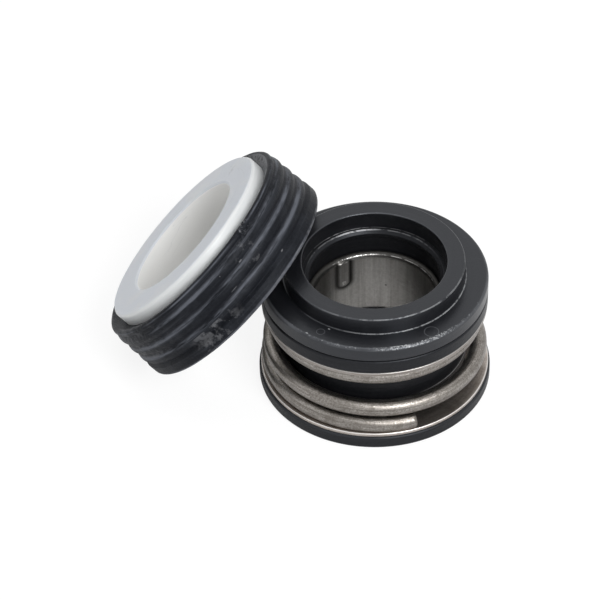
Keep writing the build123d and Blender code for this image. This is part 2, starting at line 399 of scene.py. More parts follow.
def darkMaterial(name, look, onSeat=False):
    # moulded rubber or pressed carbon: near black, with streaks, rubbed edges, dust and grain, and painted
    # highlights on some edges and lines
    material, tree, shader = newMaterial(name)
    where, polar = centredCoordinates(tree, onSeat)
    grain = grainAt(tree, where, look["grainScale"])
    smears = smearsAt(tree, where, look["dustScale"], look["dustCover"], look["dust"])
    streaks = smearsAt(tree, polar["Around"], look["streakScale"], 0.5, look["streaks"])
    wear = useGroup(tree, wearAndHighlightGroup, {
        "Edge": attribute(tree, "edge"), "Vector": polar["Around"], "Scale": look["wearScale"],
        "Amount": look["wear"],
    })["Mask"]
    base = mixColour(tree, grain, look["colour"], look["lighter"])
    base = mixColour(tree, streaks, base, look["dustColour"])
    base = mixColour(tree, smears, base, look["dustColour"])
    # rubbed edges, and painted highlights where the edge value marks them
    base = mixColour(tree, wear, base, look["wearColour"])
    # painted highlights and real scuffs, chips and specks, from the arc table
    base = addArcs(tree, where, polar, base, look["arcs"], look["scuffColour"])
    layers = []
    for angle, distance, radius, halfLine, depth in look["marks"]:
        # a pressed circle: heading and distance from the axis, radius, half width of its line, depth
        middle = Vector((cos(radians(angle)), sin(radians(angle)), 0)) * distance * mm
        values = {"Vector": where, "Location": middle}
        spot = addNode(tree, "ShaderNodeMapping", values, vector_type="TEXTURE")
        away = useGroup(tree, polarGroup, {"Vector": spot})["Radius"]
        ring = maths(tree, "COMPARE", away, radius * mm, halfLine * mm)
        base = mixColour(tree, remap(tree, ring, toMax=look["markShare"]), base, look["wearColour"])
        layers.append((ring, depth))
    setInputs(tree, shader, {
        "Base Color": base, "Specular IOR Level": look["sheen"], "Specular Tint": look["sheenTint"],
        "Roughness": remap(tree, smears, toMin=look["roughness"], toMax=look["dustRoughness"]),
    })
    addBump(tree, shader, layers + [(streaks, look["streakDepth"]), (grain, look["grainDepth"])])
    return material


def steelMaterial(name, look):
    # drawn or pressed stainless: lines along the draw, speckle, warm stain, bright rubbed edges that double
    # as painted highlights, painted shade and painted highlights
    material, tree, shader = newMaterial(name)
    where, polar = centredCoordinates(tree)
    follow = attribute(tree, "drawn", "Vector") if look["lines"] == "Wire" else polar[look["lines"]]
    lines = remap(tree, noiseOf(tree, follow, look["lineScale"], 4.0, 0.7), 0.3, 0.7)
    grain = grainAt(tree, where, look["grainScale"])
    stain = smearsAt(tree, where, look["stainScale"], look["stainCover"], look["stain"])
    base = mixColour(tree, lines, look["colour"], look["lighter"])
    base = mixColour(tree, remap(tree, grain, toMax=look["speckle"]), base, look["stainColour"])
    base = mixColour(tree, stain, base, look["stainColour"])
    # rubbed edges, brightened further as painted highlights on the rims
    base = mixColour(tree, attribute(tree, "edge"), base, look["edgeColour"])
    # painted shade on the sleeve's roll, round its dimple and on the dimple's floor
    base = mixColour(tree, attribute(tree, "crease"), base, look["creaseColour"])
    # painted shade on the sides of the sleeve, and a short dark line
    base = addArcs(tree, where, polar, base, look["shades"], look["creaseColour"])
    # painted highlights on the sleeve's mouth and the dimple's foot
    base = addArcs(tree, where, polar, base, look["arcs"], look["brightColour"])
    setInputs(tree, shader, {
        "Base Color": base, "Metallic": 1.0,
        "Roughness": remap(tree, grain, toMin=look["roughness"], toMax=look["roughest"]),
    })
    addBump(tree, shader, [(lines, look["lineDepth"]), (grain, look["grainDepth"])])
    return material


# looks that the pieces start from
darkLook = {
    "colour": (0.0055, 0.0058, 0.0068), "lighter": (0.0085, 0.0088, 0.0102),
    "sheen": 0.26, "sheenTint": (0.88, 0.92, 1.0, 1.0), "roughness": 0.42,
    "grainScale": 2600, "grainDepth": 12e-6, "dustRoughness": 0.65,
    "dust": 0.12, "dustScale": 260, "dustCover": 0.56, "dustColour": (0.035, 0.036, 0.04),
    "streaks": 0.12, "streakScale": 1400, "streakDepth": 12e-6,
    "wear": 0.35, "wearScale": 1100, "wearColour": (0.045, 0.047, 0.052),
    "scuffColour": (0.30, 0.305, 0.315), "arcs": (), "marks": (), "markShare": 0.55,
}
steelLook = {
    # the dark colour paints shade, the bright one paints highlights
    "stainCover": 0.5, "creaseColour": (0.05, 0.045, 0.04), "brightColour": (0.9, 0.88, 0.86),
    "grainDepth": 4e-6, "arcs": (), "shades": (),
}


def finishPiece(piece, material, nodeName=None, body=None):
    piece.data.materials.clear()
    piece.data.materials.append(material)
    if nodeName:
        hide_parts(nodeName)
    if body:
        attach(piece, body)
    print("made", piece.name, len(piece.data.polygons), "faces")


# rotating head

baseRing = {"edgeRound": 0.35, "boreRound": 0.1, "socketRound": 0.05, "collarWall": 1.0, "look": darkLook}


def makeBaseRing():
    radius, edge = high("base_ring").x, baseRing["edgeRound"]
    sleeveOuter = shaftRadius + sleeve["clearance"] + sleeve["wall"]
    collarOuter = sleeveOuter + baseRing["collarWall"]
    outline = roundedOutline([
        (shaftRadius, level["ground"], baseRing["boreRound"]),
        (radius, level["ground"], edge), (radius, level["lowerWasher"], edge),
        (collarOuter, level["lowerWasher"], 0), (collarOuter, level["collarTop"], edge),
        (sleeveOuter, level["collarTop"], baseRing["socketRound"]),
        (sleeveOuter, level["sleeveFoot"], 0),
        (shaftRadius, level["sleeveFoot"], baseRing["boreRound"]),
    ])
    piece = turnedPiece("baseRingRubber", outline)
    finishPiece(piece, darkMaterial("footRubber", baseRing["look"]), "base_ring", head)


washer = {
    "edgeRound": 0.12, "boreRound": 0.04, "holeGap": 0.15,
    "look": dict(
        # the bright edge colour is rubbed rims and painted highlight
        steelLook, colour=(0.42, 0.375, 0.34), lighter=(0.70, 0.65, 0.61), edgeColour=(0.72, 0.70, 0.68),
        lines="Around", lineScale=2500, lineDepth=6e-6, grainScale=3200, speckle=0.5,
        stain=0.4, stainScale=420, stainColour=(0.24, 0.20, 0.17), roughness=0.3, roughest=0.45,
    ),
    # a darker copy of the same steel: painted shade on the upper washer
    "upperLook": {
        "colour": (0.22, 0.2, 0.185), "lighter": (0.4, 0.38, 0.36), "edgeColour": (0.42, 0.405, 0.39),
    },
}


def makeWashers():
    lowerFinish = steelMaterial("pressedWasherSteel", washer["look"])
    # the upper washer takes the darker copy as painted shade
    upperShadedFinish = steelMaterial("dullWasherSteel", dict(washer["look"], **washer["upperLook"]))
    bore = bellows["skirt"] + washer["holeGap"]
    for node, name, body, material in (
        ("lower_spring_washer", "lowerWasher", head, lowerFinish),
        ("upper_spring_washer", "upperWasher", face, upperShadedFinish),
    ):
        bottom, top, radius = low(node).z, high(node).z, high(node).x
        outline = roundedOutline([
            (bore, bottom, washer["boreRound"]), (radius, bottom, washer["edgeRound"]),
            (radius, top, washer["edgeRound"]), (bore, top, washer["boreRound"]),
        ])
        finishPiece(turnedPiece(name, outline), material, node, body)


coil = {
    "wireRadius": 1.15, "lowRadius": 14.45, "taper": 0.8, "gap": 0.04, "closedPitch": 2.7,
    "groundDepth": 0.55, "startAngle": -67.7, "tipRound": 0.5,
    "closedTurns": 1.3, "risingTurns": 0.6, "levelTurns": 0.75,
    "stepsPerTurn": 160, "wireSides": 48,
    "look": dict(
        steelLook, colour=(0.15, 0.138, 0.126), lighter=(0.54, 0.515, 0.485), edgeColour=(0.45, 0.42, 0.39),
        lines="Wire", lineScale=2600, lineDepth=14e-6, grainScale=4400, grainDepth=16e-6,
        speckle=0.8, stain=0.42, stainScale=520, stainColour=(0.10, 0.085, 0.07),
        roughness=0.26, roughest=0.42,
    ),
}


def newGeometryTree(name, sockets):
    # sockets are {label: kind}, and every tree also takes its material
    tree = bpy.data.node_groups.new(name, "GeometryNodeTree")
    for label, kind in {**sockets, "Finish": "Material"}.items():
        tree.interface.new_socket(label, in_out="INPUT", socket_type="NodeSocket" + kind)
    tree.interface.new_socket("Geometry", in_out="OUTPUT", socket_type="NodeSocketGeometry")
    return tree, addNode(tree, "NodeGroupInput").outputs


def endGeometryTree(tree, given, geometry):
    whole = addNode(tree, "GeometryNodeRealizeInstances", {"Geometry": geometry})
    finish = addNode(tree, "GeometryNodeSetMaterial", {"Geometry": whole, "Material": given["Finish"]})
    return endGroup(tree, {"Geometry": finish})


def storeVector(tree, geometry, name, value):
    values = {"Geometry": geometry, "Name": name, "Value": value}
    return addNode(tree, "GeometryNodeStoreNamedAttribute", values, data_type="FLOAT_VECTOR")


def buildCoilTree():
    # a wire swept up a left-hand cone: close turns, one eased rise, level turns; its foot is ground flat
    sizes = (
        "Wire Radius", "Coil Radius", "Taper", "Rest Height", "First Height", "Climb", "Closed Pitch",
        "Closed Turns", "Rising Turns", "Rise", "Total Turns", "Start Angle",
    )
    tree, given = newGeometryTree("closedAndRisingCoil", {
        **dict.fromkeys(sizes, "Float"), "Points": "Int", "Wire Sides": "Int",
    })

    def calc(operation, *operands):
        return maths(tree, operation, *operands)

    index = addNode(tree, "GeometryNodeInputIndex").outputs[0]
    share = calc("DIVIDE", index, calc("SUBTRACT", given["Points"], 1))
    turns = calc("MULTIPLY", share, given["Total Turns"])
    angle = calc("SUBTRACT", given["Start Angle"], calc("MULTIPLY", turns, 2 * pi))
    climb = calc("DIVIDE", calc("SUBTRACT", turns, given["Closed Turns"]), given["Rising Turns"])
    climb = calc("MAXIMUM", calc("MINIMUM", climb, 1.0), 0.0)
    steep = calc("SUBTRACT", 3.0, calc("MULTIPLY", climb, 2.0))
    eased = calc("MULTIPLY", calc("MULTIPLY", climb, climb), steep)
    closed = calc("MULTIPLY", given["Closed Pitch"], calc("MINIMUM", turns, given["Closed Turns"]))
    height = calc("ADD", calc("ADD", given["First Height"], closed), calc("MULTIPLY", eased, given["Rise"]))
    risen = calc("DIVIDE", calc("SUBTRACT", height, given["First Height"]), given["Climb"])
    reach = calc("SUBTRACT", given["Coil Radius"], calc("MULTIPLY", risen, given["Taper"]))
    east, north = (calc("MULTIPLY", calc(way, angle), reach) for way in ("COSINE", "SINE"))
    spot = combine(tree, east, north, height)
    line = addNode(tree, "GeometryNodeMeshLine", {"Count": given["Points"]})
    moved = addNode(tree, "GeometryNodeSetPosition", {"Geometry": line, "Position": spot})
    path = addNode(tree, "GeometryNodeMeshToCurve", {"Mesh": moved})
    upright = addNode(tree, "GeometryNodeSetCurveNormal", {"Curve": path}, mode="Z_UP")
    # the drawn lines follow coordinates that run slowly along the wire
    length = addNode(tree, "GeometryNodeSplineParameter").outputs["Length"]
    longWay = storeVector(tree, upright, "lengthAlong", combine(tree, z=calc("MULTIPLY", length, 0.03)))
    section = addNode(tree, "GeometryNodeCurvePrimitiveCircle", {
        "Resolution": given["Wire Sides"], "Radius": given["Wire Radius"],
    }, mode="RADIUS")
    position = addNode(tree, "GeometryNodeInputPosition")
    acrossWay = storeVector(tree, section, "spotAcross", position)
    wire = addNode(tree, "GeometryNodeCurveToMesh", {
        "Curve": longWay, "Profile Curve": acrossWay, "Fill Caps": True,
    })
    both = (
        addNode(tree, "GeometryNodeInputNamedAttribute", {"Name": name}, data_type="FLOAT_VECTOR")
        for name in ("lengthAlong", "spotAcross")
    )
    drawn = storeVector(tree, wire, "drawn", vectorMaths(tree, "ADD", *both)["Vector"])
    x, y, z = separate(tree, position)
    ground = combine(tree, x, y, calc("MAXIMUM", z, given["Rest Height"]))
    flattened = addNode(tree, "GeometryNodeSetPosition", {"Geometry": drawn, "Position": ground})
    return endGeometryTree(tree, given, flattened)


def runTree(name, tree, values, carrier=None):
    # the plain mesh that a geometry tree gives, on an empty mesh or a copy of a carrier's
    base = carrier.data.copy() if carrier else bpy.data.meshes.new(name + "Holder")
    holder = bpy.data.objects.new(name + "Holder", base)
    scene.collection.objects.link(holder)
    modifier = holder.modifiers.new("build", "NODES")
    modifier.node_group = tree
    for item in tree.interface.items_tree:
        if item.in_out == "INPUT" and item.name in values:
            modifier[item.identifier] = values[item.name]
    graph = bpy.context.evaluated_depsgraph_get()
    mesh = bpy.data.meshes.new_from_object(holder.evaluated_get(graph))
    mesh.name = name
    bpy.data.objects.remove(holder)
    piece = bpy.data.objects.new(name, mesh)
    scene.collection.objects.link(piece)
    return piece


def roundCutEnds(mesh, size):
    shape = bmesh.new()
    shape.from_mesh(mesh)
    caps = [f for f in shape.faces if len(f.verts) > 4]
    rims = [e for f in caps for e in f.edges]
    bmesh.ops.bevel(shape, geom=rims, offset=size * mm, segments=3, profile=0.6, affect="EDGES")
    shape.to_mesh(mesh)
    shape.free()
    faceOutward(mesh)


def makeSpring():
    material = steelMaterial("springWireSteel", coil["look"])
    rest = level["coilFoot"] + coil["gap"]
    first = rest + coil["wireRadius"] - coil["groundDepth"]
    last = level["coilHead"] - coil["gap"] - coil["wireRadius"]
    turns = coil["closedTurns"] + coil["risingTurns"] + coil["levelTurns"]
    closedTop = first + coil["closedPitch"] * coil["closedTurns"]
    lengths = {
        "Wire Radius": coil["wireRadius"], "Coil Radius": coil["lowRadius"], "Taper": coil["taper"],
        "Rest Height": rest, "First Height": first, "Climb": last - first,
        "Closed Pitch": coil["closedPitch"], "Rise": last - closedTop,
    }
    piece = runTree("coilSpring", buildCoilTree(), {
        **{label: length * mm for label, length in lengths.items()},
        "Closed Turns": coil["closedTurns"], "Rising Turns": coil["risingTurns"], "Total Turns": turns,
        "Start Angle": radians(coil["startAngle"]), "Points": int(turns * coil["stepsPerTurn"]),
        "Wire Sides": coil["wireSides"], "Finish": material,
    })
    roundCutEnds(piece.data, coil["tipRound"])
    finishPiece(piece, material, "spring")
    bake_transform(piece)


bellows = {
    "neckBore": 9.1975, "neck": 10.8975, "lip": 8.8475, "lipBevel": 0.45, "lipThickness": 0.9,
    "skirt": 12.3, "skirtFlare": 0.4, "skirtWall": 0.9, "tailInner": 9.7875,
    "bandRound": 0.3, "foldRound": 0.3, "tailRound": 0.2, "lipRound": 0.08,
    "look": dict(
        darkLook, roughness=0.36, dust=0.05, wear=0.25, sheen=0.2, scuffColour=(0.45, 0.455, 0.465),
        arcs=(  # painted highlights: faint lines round the lip, brighter ones at its back, and a line on the skirt's folded edge
            (97, 80, 9.70, 0.05, 17.3, 0.06, 700, 0.38, 0.22),
            (97, 80, 9.27, 0.07, 17.27, 0.07, 700, 0.38, 0.22),
            (108, 24, 9.27, 0.09, 17.25, 0.09, 1600, 0.40, 1),
            (116, 26, 9.70, 0.05, 17.3, 0.06, 1200, 0.45, 0.8),
            (-26, 42, 12.6, 0.25, 5.75, 0.09, 500, 0.2, 0.6),
        ),
    ),
}


def makeBellows():
    radius = high("bellows").x
    inner = bellows["skirt"] - bellows["skirtWall"]
    flare = bellows["skirtFlare"]
    tailTop = level["fold"] + bellows["skirtWall"]
    lipFoot = level["neckTop"] - bellows["lipThickness"]
    outline = roundedOutline([
        (bellows["neckBore"], level["band"], 0.1),
        (inner, level["band"], 0),
        (inner + flare, tailTop, bellows["tailRound"]),
        (bellows["tailInner"], tailTop, bellows["tailRound"]),
        (bellows["tailInner"], level["fold"], bellows["tailRound"]),
        (bellows["skirt"] + flare, level["fold"], bellows["foldRound"]),
        (bellows["skirt"], level["band"], 0),
        (radius, level["band"], bellows["bandRound"]),
        (radius, level["flange"], bellows["bandRound"]),
        (bellows["neck"], level["flange"], 0), (bellows["neck"], level["neckTop"], 0),
        (bellows["lip"] + bellows["lipBevel"], level["neckTop"], bellows["lipRound"]),
        (bellows["lip"], level["neckTop"] - bellows["lipBevel"], bellows["lipRound"]),
        (bellows["lip"], lipFoot, 0.05), (bellows["neckBore"], lipFoot, 0.05),
    ])
    piece = turnedPiece("bellowsRubber", outline)
    finishPiece(piece, darkMaterial("bellowsRubber", bellows["look"]), "bellows")
    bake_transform(piece)


sleeve = {
    "wall": 0.5, "roll": 0.55, "clearance": 0.3,
    "dimpleAngle": 121.0, "dimpleLength": 5.0, "dimpleWidth": 2.3, "dimpleDepth": 0.22, "dimpleEnd": 1.0,
    # painted shade on the roll, and in a crease round the dimple: shares of the dimple's half width
    "grime": 0.96, "rollGrime": 0.07, "creasePlace": 0.95, "creaseWidth": 0.42, "floorGrime": 0.3,
    "floorShare": 0.6, "flankShare": 0.45,
    "look": dict(
        steelLook, colour=(0.52, 0.505, 0.485), lighter=(0.78, 0.765, 0.74), edgeColour=(0.7, 0.69, 0.67),
        creaseColour=(0.03, 0.029, 0.027), brightColour=(0.95, 0.94, 0.92),
        lines="Lengthwise", lineScale=1500, lineDepth=8e-6, grainScale=2600, speckle=0.25,
        stain=0.3, stainScale=330, stainCover=0.58, stainColour=(0.20, 0.185, 0.165),
        roughness=0.34, roughest=0.46,
        arcs=(  # painted highlights: a broken line round the mouth, and the dimple's bright foot
            (106, 30, 8.44, 0.07, 13.55, 0.13, 2600, 0.5, 1),
            (60, 85, 8.42, 0.06, 13.52, 0.1, 900, 0.42, 0.5),
            (121.5, 3, 8, 0.3, 9.6, 0.35, 4000, 0.4, 0.8),
        ),
        shades=(  # painted shade on the sides, and a short dark line
            (15, 62, 8.2, 0.25, 9, 4.2, 200, -1, 0.75),
            (168, 45, 8.2, 0.25, 9, 4.2, 200, -1, 0.75),
            (79, 1.3, 8.2, 0.25, 8.2, 0.1, 200, -1, 0.8),
        ),
    ),
}


def pressDimple(mesh, bore, rollHeight):
    # presses the dimple in from the mouth down, and marks painted shade on the roll, round the dimple and
    # on its floor
    top = level["sleeveTop"]
    bottom = top - sleeve["dimpleLength"]
    angle = radians(sleeve["dimpleAngle"])
    ahead = Vector((cos(angle), sin(angle)))
    side = Vector((-sin(angle), cos(angle)))
    paintedShades = []
    for v in mesh.vertices:
        x, y, z = v.co / mm
        crease = 0.0
        if z > rollHeight:
            crease = sleeve["grime"] * min(1.0, max(0.0, (hypot(x, y) - bore) / sleeve["rollGrime"]))
        if x * ahead.x + y * ahead.y >= 0:
            across = (x * side.x + y * side.y) / (sleeve["dimpleWidth"] / 2)
            beyond = max(bottom + sleeve["dimpleEnd"] - z, z - top + sleeve["dimpleEnd"], 0.0)
            away = hypot(across, beyond)
            ring = (away - sleeve["creasePlace"]) / sleeve["creaseWidth"]
            crease = max(crease, exp(-ring * ring) * sleeve["grime"])
            if away < sleeve["floorShare"]:
                crease = max(crease, sleeve["floorGrime"])
            if away < 1:
                flank = min(1.0, (1 - away) / sleeve["flankShare"])
                press = flank * flank * (3 - 2 * flank) * sleeve["dimpleDepth"] * mm
                v.co -= Vector((x, y, 0)).normalized() * press
        paintedShades.append(crease)
    mesh.attributes.new("crease", "FLOAT", "POINT").data.foreach_set("value", paintedShades)
    mesh.update()


def makeSleeve():
    bore = shaftRadius + sleeve["clearance"]
    outer = bore + sleeve["wall"]
    rollOuter = sleeve["roll"] + sleeve["wall"] / 2
    rollInner = sleeve["roll"] - sleeve["wall"] / 2
    rollMiddle = outer + rollInner
    rollHeight = level["sleeveTop"] - rollOuter
    nearlyFull = 0.98
    outline = roundedOutline([
        (bore, level["sleeveFoot"], 0.05), (outer, level["sleeveFoot"], 0.05),
        (outer, rollHeight + rollInner, rollInner * nearlyFull),
        (rollMiddle, rollHeight + rollInner, 0.0),
        (rollMiddle, level["sleeveTop"], 0),
        (bore, level["sleeveTop"], rollOuter * nearlyFull),
    ], run=0.2)
    piece = turnedPiece("driveSleeveTube", outline, segments=420)
    pressDimple(piece.data, bore, rollHeight)
    material = steelMaterial("drawnSleeveSteel", sleeve["look"])
    finishPiece(piece, material, "drive_sleeve", head)


faceRing = {
    "bore": 9.7475, "recess": 10.9475, "foot": 12.2975, "tip": 12.1975, "flangeTop": 17.4,
    "flangeRound": 0.4, "footRound": 0.15, "noseBevel": 0.18, "neckGap": 0.05,
    "grooveDepth": 0.5, "grooveWidth": 0.24, "grooveRound": 0.08,
    "look": dict(
        darkLook, colour=(0.0050, 0.0053, 0.0066), lighter=(0.0078, 0.0083, 0.0100), sheen=0.5,
        roughness=0.29, dustRoughness=0.5, grainScale=3400, grainDepth=6e-6, streaks=0.1,
        wear=0.55, wearColour=(0.10, 0.104, 0.112), scuffColour=(0.42, 0.43, 0.44),
        arcs=(  # chips and specks on the flange's front edge, and the rubbed edges of flange and nose, also painted highlights on their front
            (-68, 26, 15.12, 0.26, 17.3, 0.16, 3200, 0.48, 0.85),
            (-118, 0.9, 12.75, 0.1, 17.4, 0.05, 100, -1, 0.6),
            (-126.5, 0.9, 14.95, 0.09, 17.4, 0.05, 100, -1, 0.6),
            (-75, 70, 15.12, 0.2, 17.35, 0.08, 2200, 0.56, 0.5),
            (-50, 75, 12.3, 0.12, 17.46, 0.07, 800, 0.42, 0.45),
            (-60, 80, 12.15, 0.12, 19.7, 0.06, 700, 0.42, 0.3),
        ),
        marks=((-121.0, 13.75, 0.55, 0.05, 0.00003), (-57.5, 13.95, 0.95, 0.06, 0.00004)),  # ejector marks
    ),
}


def makeFaceRing():
    radius = high("face_ring").x
    top = faceRing["flangeTop"]
    grooveFloor = radius - faceRing["grooveDepth"]
    grooveTop = level["flange"] + faceRing["grooveWidth"]
    recessTop = level["neckTop"] + faceRing["neckGap"]
    outline = roundedOutline([
        (faceRing["recess"], level["flange"], 0),
        (grooveFloor, level["flange"], 0, 0), (grooveFloor, grooveTop, 0, 0),
        (radius, grooveTop, faceRing["grooveRound"]),
        (radius, top, faceRing["flangeRound"]),
        (faceRing["foot"], top, faceRing["footRound"]),
        (faceRing["tip"], level["noseTop"], faceRing["noseBevel"]),
        (faceRing["bore"], level["noseTop"], faceRing["noseBevel"]),
        (faceRing["bore"], recessTop, 0), (faceRing["recess"], recessTop, 0),
    ])
    piece = turnedPiece("carbonFaceRing", outline)
    finishPiece(piece, darkMaterial("pressedCarbon", faceRing["look"]), "face_ring", face)


# stationary seat

cup = {
    "floorBore": 10.0, "taper": 0.25, "lip": 15.4, "dish": 0.7, "backLand": 2.2, "frontLand": 0.9,
    "ribs": 3, "ribPitch": 1.93, "ribDepth": 0.38, "backRound": 0.7, "lipRound": 0.12,
    "arcSteps": 12, "shoulderSteps": 8, "segments": 480,
    "nickAngle": 153.0, "nickSpread": 5.5, "nickDepth": 0.3, "nickHeight": 1.1, "nickReach": 0.3,
    "unevenDepth": 0.05, "unevenSize": 2.2, "unevenSeed": 3,
    "look": dict(
        darkLook, colour=(0.0042, 0.0048, 0.0066), lighter=(0.0074, 0.0084, 0.0112), roughness=0.45,
        sheen=0.12, dust=0.2, dustScale=230, dustCover=0.52, dustColour=(0.042, 0.046, 0.055),
        # the strong rubbed-edge mix also paints the highlights along the ribs
        grainDepth=22e-6, wear=1.7, wearScale=1300, wearColour=(0.095, 0.102, 0.12), streaks=0.3,
        streakScale=1300,
        scuffColour=(0.17, 0.173, 0.183),
        arcs=(  # a lighter patch at the top of the front, a painted highlight on the lip's edge, a smear low on the back land, a painted highlight on the back edge, then specks
            (-160, 80, 14.7, 0.75, 8.5, 0.45, 1700, 0.38, 1),
            (130, 75, 15.36, 0.14, 8.82, 0.14, 900, 0.36, 1),
            (108, 18, 16.3, 0.5, 1.9, 1.3, 520, 0.49, 0.5),
            (172, 60, 16.25, 0.2, 0.3, 0.3, 700, 0.40, 0.5),
            (40, 55, 15.9, 0.9, 6.4, 2.7, 900, 0.5, 0.3),
            (157.3, 0.9, 16.3, 0.5, 2.3, 0.11, 100, -1, 1),
            (140, 1.2, 16.3, 0.6, 6.1, 0.1, 100, -1, 0.7),
            (128, 2.4, 16.3, 0.6, 4.3, 0.07, 100, -1, 0.5),
            (153, 7, 15.5, 0.35, 8.5, 0.5, 3000, 0.52, 0.9),
            (147, 12, 16.2, 0.5, 6.2, 1.9, 800, 0.57, 0.3),
        ),
    ),
}


def arcThrough(first, middle, last, steps):
    # points of the circle through three points, without the last
    ax, ay = first
    bx, by = middle
    cx, cy = last
    d = 2 * (ax * (by - cy) + bx * (cy - ay) + cx * (ay - by))
    a, b, c = ax * ax + ay * ay, bx * bx + by * by, cx * cx + cy * cy
    ux = (a * (by - cy) + b * (cy - ay) + c * (ay - by)) / d
    uy = (a * (cx - bx) + b * (ax - cx) + c * (bx - ax)) / d
    radius = hypot(ax - ux, ay - uy)
    begin = atan2(ay - uy, ax - ux)
    sweepAngle = atan2(cy - uy, cx - ux) - begin
    angles = [begin + sweepAngle * i / steps for i in range(steps)]
    return [(ux + radius * cos(angle), uy + radius * sin(angle)) for angle in angles]


def nickLip(mesh, height):
    # small torn nicks in the lip's outer edge
    for v in mesh.vertices:
        x, y, z = v.co / mm
        turn = degrees(atan2(y, x)) - cup["nickAngle"]
        inner = hypot(x, y) < cup["lip"] - cup["nickReach"]
        if abs(turn) > cup["nickSpread"] or z < height - cup["nickHeight"] or inner:
            continue
        torn = noise.noise(Vector((turn * 1.7, z * 3.6, 4.0)))
        fade = 1 - (turn / cup["nickSpread"]) ** 2
        sink = max(0.0, min(1.0, torn * 6)) * fade * cup["nickDepth"]
        v.co -= Vector((x, y, 0)).normalized() * (sink * mm)
    mesh.update()


def makeSeatCup():
    back, depth = seat["backRadius"], cup["ribDepth"]
    height = cup["backLand"] + cup["ribs"] * cup["ribPitch"] + cup["frontLand"]
    ceramicOuter = seat["ceramicBore"] + seat["ceramicWall"]
    notches = []
    for i in range(cup["ribs"] + 1):
        z = cup["backLand"] + i * cup["ribPitch"]
        notches.append((back - cup["taper"] * z / height - depth, z))
    corners = [
        (cup["floorBore"], 0, 0.15), (back, 0, cup["backRound"]), (back, cup["backLand"] - depth, 0, 0),
    ]
    for lower, upper in zip(notches, notches[1:]):
        crest = ((lower[0] + upper[0]) / 2 + depth, (lower[1] + upper[1]) / 2)
        for step, (x, z) in enumerate(arcThrough(lower, crest, upper, cup["arcSteps"])):
            # a painted highlight along one side of each rib, carried by the edge value
            ribHighlight = max(0.0, sin(pi * (2 * step / cup["arcSteps"] - 1))) ** 3
            corners.append((x, z, 0.0, ribHighlight))
    shoulder = (notches[-1][0] + depth / 2, (notches[-1][1] + height) / 2)
    steps = cup["shoulderSteps"]
    for step, (x, z) in enumerate(arcThrough(notches[-1], shoulder, (cup["lip"], height), steps)):
        # and a painted highlight at the middle of the shoulder
        corners.append((x, z, 0.0, 0.8 if step == steps // 2 else 0.0))
    corners += [
        (cup["lip"], height, cup["lipRound"]),
        (ceramicOuter, height - cup["dish"], 0.0),
        (ceramicOuter, seat["cupFloor"], 0),
        (cup["floorBore"], seat["cupFloor"], 0.1),
    ]
    piece = turnedPiece("seatCupRubber", roundedOutline(corners), cup["segments"])
    nickLip(piece.data, height)
    piece.data.transform(seatPlace)
    unevenSurface(piece.data, cup["unevenDepth"], cup["unevenSize"], cup["unevenSeed"])
    finishPiece(piece, darkMaterial("cupRubber", cup["look"], onSeat=True), "seat_cup", head)
    return piece


seatRing = {
    "bevel": 0.3, "faceRound": 0.35, "mouthRound": 0.2, "boreRound": 0.08, "backRound": 0.05,
    # the inside colour is painted light, the bore's wall paler than the lapped face
    "colour": (0.675, 0.71, 0.76), "warm": (0.74, 0.75, 0.755), "inside": (0.92, 0.92, 0.90),
    "side": (0.695, 0.712, 0.715), "scratch": (0.46, 0.48, 0.51),
    "insideEdge": (0.07, 0.01), "sideEdge": (0.35, 0.1),  # where those colours start and are full, in mm
    "roughness": 0.3, "roughest": 0.42, "translucence": 0.4, "depth": 0.0015,
    "grainScale": 3000, "grainDepth": 2e-6, "scratchScale": 900, "scratchDepth": 4e-6,
    "arcs": (  # handling marks on the lapped face
        (-60, 7, 9.62, 0.05, 10.2, 0.05, 100, -1, 0.8),
        (-124, 7, 11.2, 1.1, 10.2, 0.05, 1100, 0.52, 0.7),
        (-165, 30, 13.66, 0.06, 10.17, 0.08, 300, 0.3, 0.35),
    ),
}


def makeCeramicMaterial():
    material, tree, shader = newMaterial("lappedCeramic")
    where, polar = centredCoordinates(tree, onSeat=True)
    grain = grainAt(tree, where, seatRing["grainScale"])
    scratches = useGroup(tree, hairlineGroup, {
        "Vector": polar["Around"], "Scale": seatRing["scratchScale"], "Amount": 0.45,
    })["Mask"]
    bore = seat["ceramicBore"]
    outer = bore + seat["ceramicWall"]
    inside = remap(tree, polar["Radius"], *((bore + edge) * mm for edge in seatRing["insideEdge"]))
    side = remap(tree, polar["Radius"], *((outer - edge) * mm for edge in seatRing["sideEdge"]))
    base = mixColour(tree, smearsAt(tree, where, 160.0, 0.5, 0.5), seatRing["colour"], seatRing["warm"])
    base = mixColour(tree, side, base, seatRing["side"])
    # painted light on the bore's wall
    base = mixColour(tree, inside, base, seatRing["inside"])
    base = mixColour(tree, scratches, base, seatRing["scratch"])
    setInputs(tree, shader, {
        "Base Color": addArcs(tree, where, polar, base, seatRing["arcs"], seatRing["scratch"]),
        "Roughness": remap(tree, grain, toMin=seatRing["roughness"], toMax=seatRing["roughest"]),
        "Subsurface Weight": seatRing["translucence"],
        "Subsurface Scale": seatRing["depth"],
        "Subsurface Radius": (1.0, 1.0, 1.0),
    })
    addBump(tree, shader, [(scratches, seatRing["scratchDepth"]), (grain, seatRing["grainDepth"])])
    return material


